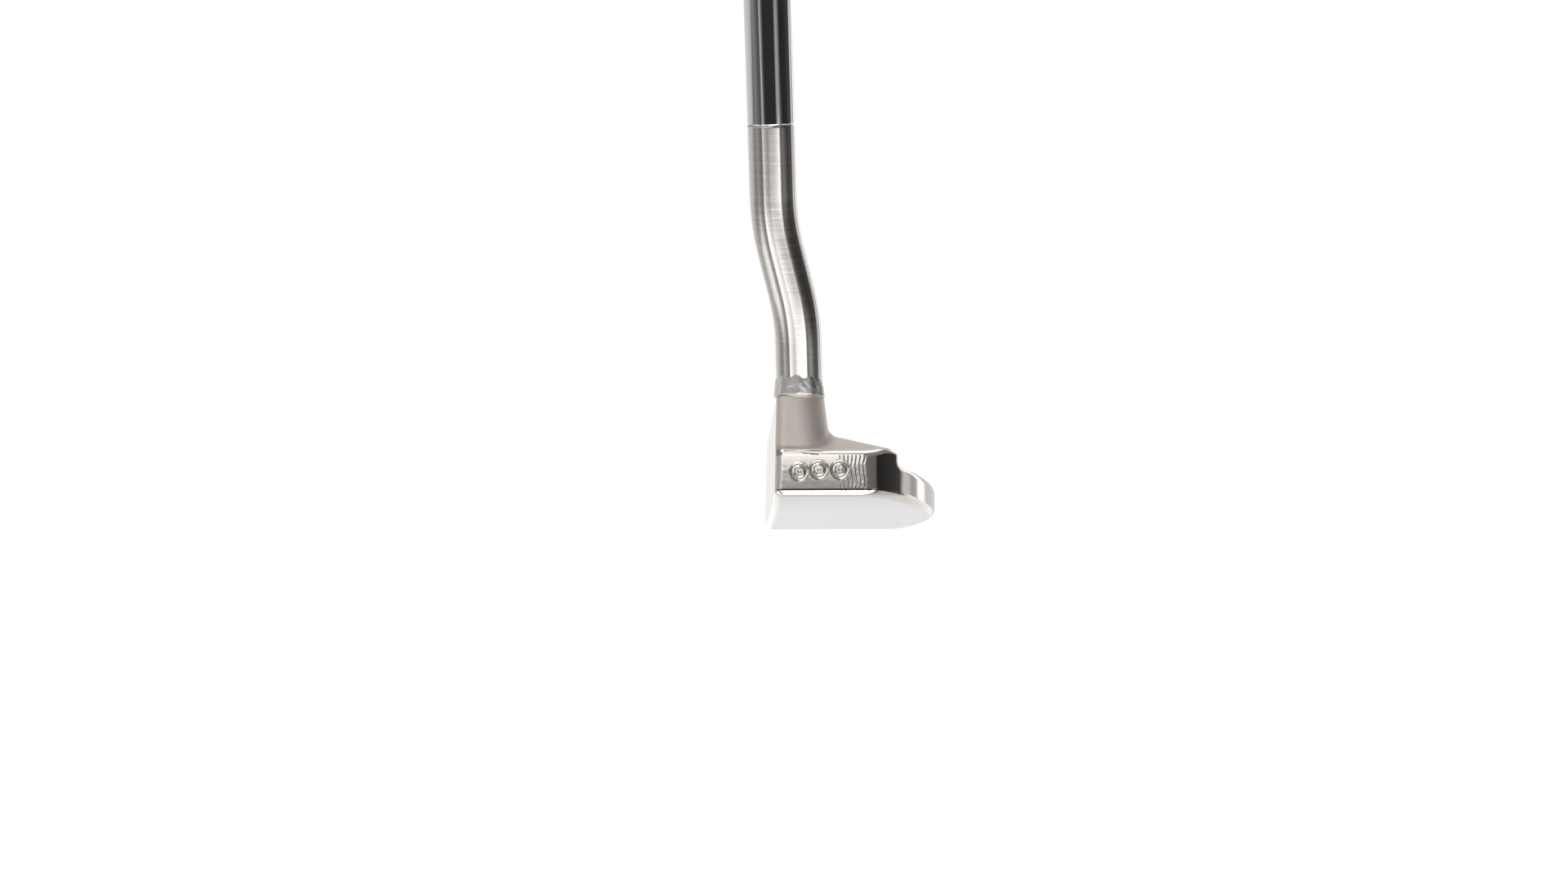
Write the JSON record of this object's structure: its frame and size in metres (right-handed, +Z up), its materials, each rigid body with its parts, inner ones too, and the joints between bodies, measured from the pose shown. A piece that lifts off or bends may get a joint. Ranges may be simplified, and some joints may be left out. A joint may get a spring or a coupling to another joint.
{
  "type": "mallet putter",
  "caption": "Right-handed mid-mallet putter: milled steel head with a raised blade and half-moon flange, welded bent neck, stepped chrome shaft and pistol grip.",
  "frame": {"origin": "centre of the flat part of the sole, on the ground", "axes": "+Z up, +X from the toe to the heel, -Y the way the ball leaves the face, +Y towards the back of the flange"},
  "size_m": [0.3893, 0.074, 0.8187],
  "materials": {
    "head_steel": "bead-blasted satin stainless steel, heel and toe panels and walls polished",
    "neck_steel": "stainless bar with fine circumferential brushing",
    "weld_metal": "rippled weld, lightly polished",
    "shaft_chrome": "mirror chrome plate on steel tube",
    "epoxy": "cured shafting epoxy",
    "tape": "double-sided paper grip tape",
    "grip_rubber": "matt moulded rubber",
    "cap_plastic": "hard matt moulded butt cap",
    "paint": "enamel fill in the sight line"
  },
  "bodies": {
    "root": {"head_body": "head_steel", "sight_line_paint": "paint", "neck": "neck_steel", "weld_bead": "weld_metal", "shaft_epoxy": "epoxy", "shaft": "shaft_chrome", "grip_tape": "tape", "grip": "grip_rubber", "grip_cap": "cap_plastic"}
  },
  "joints": []
}
